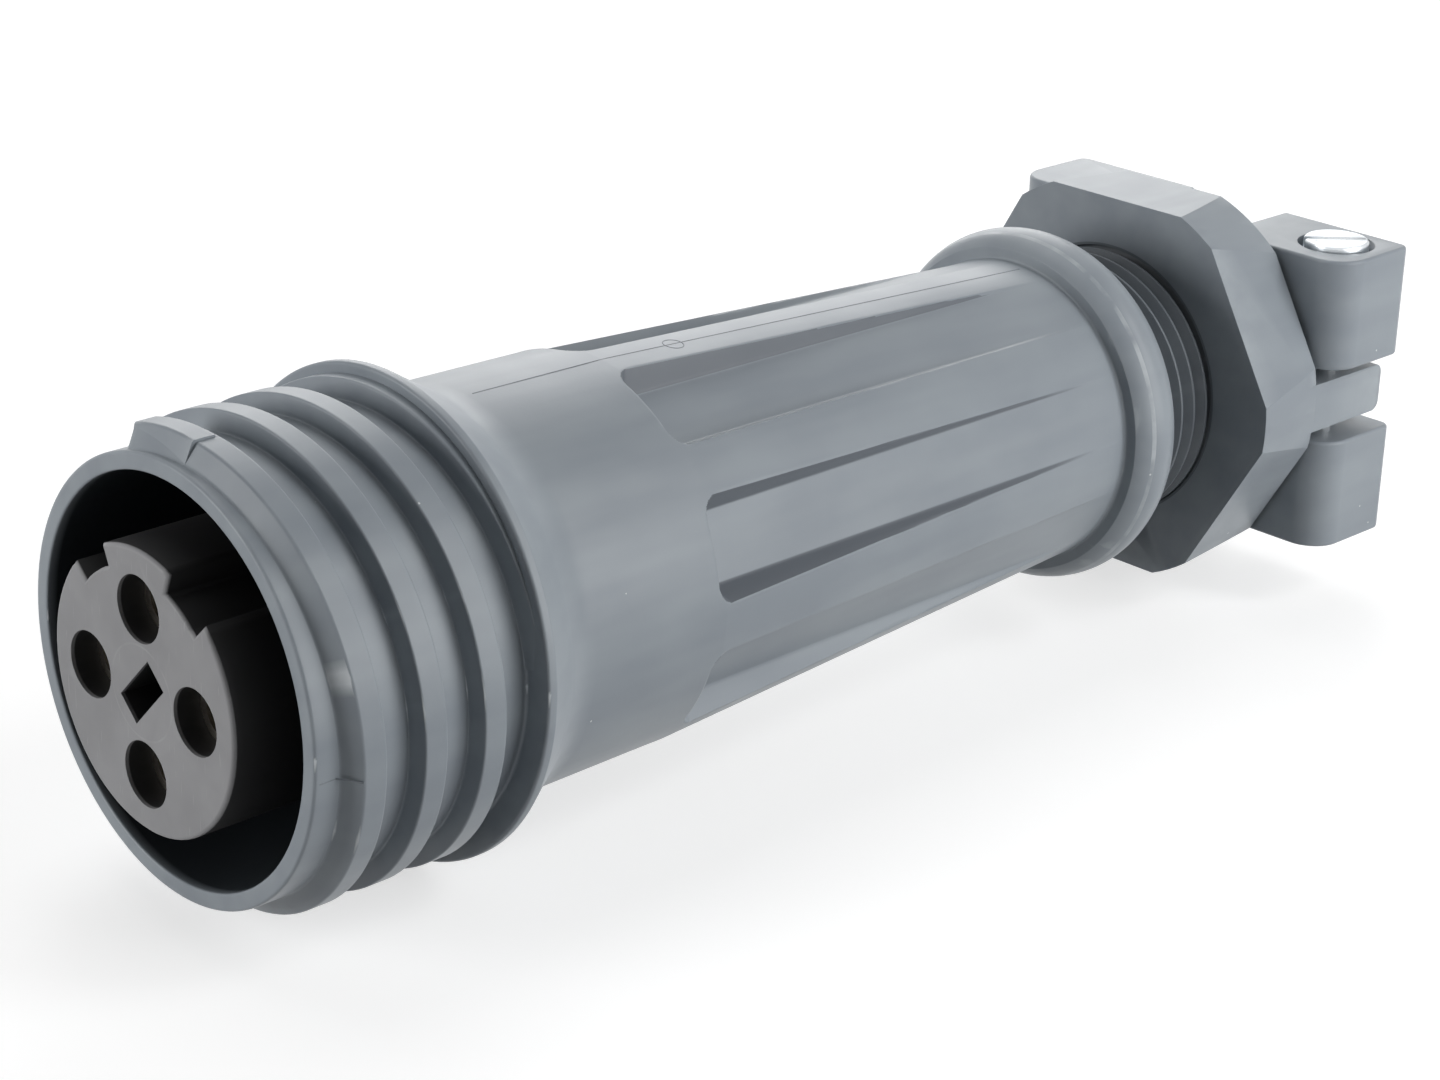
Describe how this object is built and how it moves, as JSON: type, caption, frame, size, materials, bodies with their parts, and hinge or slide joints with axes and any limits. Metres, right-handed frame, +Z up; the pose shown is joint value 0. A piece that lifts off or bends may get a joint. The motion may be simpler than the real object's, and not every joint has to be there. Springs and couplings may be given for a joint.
{
  "type": "circular cable connector",
  "caption": "Round plastic cable coupler with a coarse outside thread, socket insert, panelled grip and hexagon gland nut that carries a screwed cable clamp.",
  "frame": {"origin": "on the connector's axis in the plane of the collar's front edge, where the socket contacts begin", "axes": "+X along the axis from the mating end to the cable end, +Z up through one flat of the nut, to the side of the near clamp screw's head"},
  "size_m": [0.08, 0.025, 0.0252],
  "materials": {
    "moulded_plastic": "satin moulded",
    "insert_plastic": "matt moulded",
    "contact_metal": "plated, turned",
    "screw_steel": "bright zinc",
    "seal_rubber": "matt rubber",
    "washer_plastic": "smooth plastic"
  },
  "bodies": {
    "housing": {"housing": "moulded_plastic", "coupling_thread": "moulded_plastic", "rear_spigot": "moulded_plastic", "contact_insert": "insert_plastic", "contact_1": "contact_metal", "contact_2": "contact_metal", "contact_3": "contact_metal", "contact_4": "contact_metal", "terminal_screw_1": "screw_steel", "terminal_screw_2": "screw_steel", "terminal_screw_3": "screw_steel", "terminal_screw_4": "screw_steel", "insert_ring": "moulded_plastic", "cable_seal": "seal_rubber"},
    "thrust_washer": {"thrust_washer": "washer_plastic"},
    "gland_nut": {"gland_nut": "moulded_plastic"},
    "upper_jaw": {"upper_jaw": "moulded_plastic"},
    "lower_jaw": {"lower_jaw": "moulded_plastic"},
    "clamp_screw_1": {"clamp_screw_1": "screw_steel"},
    "clamp_screw_2": {"clamp_screw_2": "screw_steel"}
  },
  "joints": [
    {"name": "washer_travel", "type": "slide", "parent": "housing", "child": "thrust_washer", "axis": [1, 0, 0], "range_m": [-0.00067, 0.00155]},
    {"name": "nut_turn", "type": "hinge", "parent": "thrust_washer", "child": "gland_nut", "pos_m": [0.0665, 0, 0], "axis": [1, 0, 0], "range_deg": [-216, 504]},
    {"name": "upper_jaw_travel", "type": "slide", "parent": "gland_nut", "child": "upper_jaw", "axis": [0, 0, -1], "range_m": [-0.0008, 0.0007]},
    {"name": "lower_jaw_travel", "type": "slide", "parent": "gland_nut", "child": "lower_jaw", "axis": [0, 0, 1], "range_m": [-0.00081, 0.00071]},
    {"name": "clamp_screw_1_turn", "type": "hinge", "parent": "upper_jaw", "child": "clamp_screw_1", "pos_m": [0.0755, -0.0093, 0.0078], "axis": [0, 0, -1], "range_deg": [-1441, 1261]},
    {"name": "clamp_screw_2_turn", "type": "hinge", "parent": "lower_jaw", "child": "clamp_screw_2", "pos_m": [0.0755, 0.0093, -0.0078], "axis": [0, 0, 1], "range_deg": [-1441, 1261]}
  ],
  "couplings": [
    {"joint": "washer_travel", "follows": "nut_turn", "m_per_rad": 0.00017507},
    {"joint": "lower_jaw_travel", "follows": "upper_jaw_travel", "ratio": 1},
    {"joint": "clamp_screw_1_turn", "follows": "upper_jaw_travel", "rad_per_m": 31416},
    {"joint": "clamp_screw_2_turn", "follows": "upper_jaw_travel", "rad_per_m": 31416}
  ]
}
